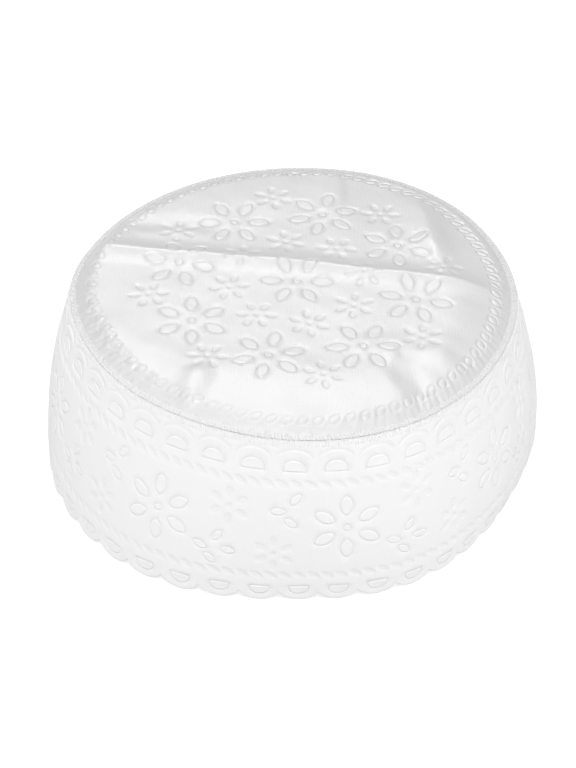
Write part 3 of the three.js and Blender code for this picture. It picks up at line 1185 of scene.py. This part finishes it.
def cloth_material(name, look, weave):
    """White cotton: slightly uneven in tone, with shade painted along the bottoms of its grooves, and with
    its weave.
    """
    material, shader = plain_material(name, look)
    # This attribute is painted shade, strongest at the grooves' bottoms
    line = add_node(material, "Attribute", {}, attribute_name="groove_shade")
    place = add_node(material, "TexCoord", {})
    blotch = noise(material, place.outputs["Object"], Scale=BLOTCH["scale"], Detail=BLOTCH["detail"])
    tones = {"A": grey(look["brightness"] * BLOTCH["share"]), "B": grey(look["brightness"])}
    uneven = add_node(material, "Mix", {**tones, "Factor": blotch}, data_type="RGBA")
    # Painted shade: the grooves' bottoms are mixed towards the darker line colour
    tones = {"A": uneven.outputs["Result"], "B": grey(look["line"])}
    tone = add_node(material, "Mix", {**tones, "Factor": line.outputs["Fac"]}, data_type="RGBA")
    feed(material, shader, {"Base Color": tone.outputs["Result"]})
    add_bump(material, shader, weave, weave_height(material, weave["pitch"] * CM_PER_MM))
    return material


def thread_material(name, look):
    """Sewing thread, with its twist as a fine bump."""
    material, shader = plain_material(name, look)
    place = add_node(material, "TexCoord", {})
    add_bump(material, shader, TWIST, noise(material, place.outputs["Object"], Scale=TWIST["scale"]))
    return material


# Stage


def camera():
    """Camera at the photograph's angle, distance and framing."""
    data = bpy.data.cameras.new("camera")
    data.sensor_width = SENSOR
    data.lens = FOCAL_PIXELS * SENSOR / PICTURE_HEIGHT
    data.clip_end = CAMERA_FAR
    piece = add_object("camera", data)
    elevation = math.radians(CAMERA_ELEVATION)
    back = Vector((0, -math.cos(elevation), math.sin(elevation)))
    target = Vector((CAMERA_TARGET[0] + OFFSET[0], CAMERA_TARGET[1] + OFFSET[1], CAMERA_TARGET[2]))
    place = Matrix.Translation((target + back * CAMERA_DISTANCE) * MM)
    turn = back.to_track_quat("Z", "Y").to_matrix().to_4x4()
    piece.matrix_world = place @ turn @ Matrix.Rotation(math.radians(CAMERA_ROLL), 4, "Z")
    bpy.context.scene.camera = piece


def area_light(name, azimuth, elevation, watts, size):
    """Round soft light that shines at the cap."""
    data = bpy.data.lights.new(name, "AREA")
    data.shape = "DISK"
    data.energy = watts
    data.size = size
    azimuth, elevation = math.radians(azimuth), math.radians(elevation)
    level = math.cos(elevation)
    away = Vector((math.sin(azimuth) * level, -math.cos(azimuth) * level, math.sin(elevation)))
    place = Matrix.Translation(Vector(LIGHT_TARGET) + away * LIGHT_DISTANCE)
    add_object(name, data).matrix_world = place @ away.to_track_quat("Z", "Y").to_matrix().to_4x4()


def studio():
    """Pale floor, faint light from all round and the soft lights."""
    bpy.ops.mesh.primitive_plane_add(size=FLOOR_SIZE)
    floor = bpy.context.object
    floor.name = "floor"
    material, shader = plain_material("pale_floor", FLOOR)
    feed(material, shader, {"Emission Color": grey(1.0), "Emission Strength": FLOOR_GLOW})
    floor.data.materials.append(material)
    world = bpy.data.worlds.new("studio")
    bpy.context.scene.world = world
    world.use_nodes = True
    background = world.node_tree.nodes["Background"]
    background.inputs["Color"].default_value = grey(1.0)
    background.inputs["Strength"].default_value = WORLD_STRENGTH
    for light in LIGHTS:
        area_light(*light)
    bpy.context.scene.view_settings.view_transform = "Standard"


embossed_band(cloth_material("band_cotton", BAND_COTTON, BAND_WEAVE))
embossed_crown(cloth_material("crown_sateen", CROWN_SATEEN, CROWN_WEAVE))
sateen_thread = thread_material("sateen_thread", SATEEN_THREAD)
white_thread = thread_material("white_thread", WHITE_THREAD)
across_rng = np.random.default_rng(THREAD_SEED)
stitches_across("overlock_teeth", TEETH, sateen_thread, across_rng)
stitches_across("overlock_threads", FINE, white_thread, across_rng)
stitches_along("seam_stitches", ROW, white_thread)
studio()
camera()
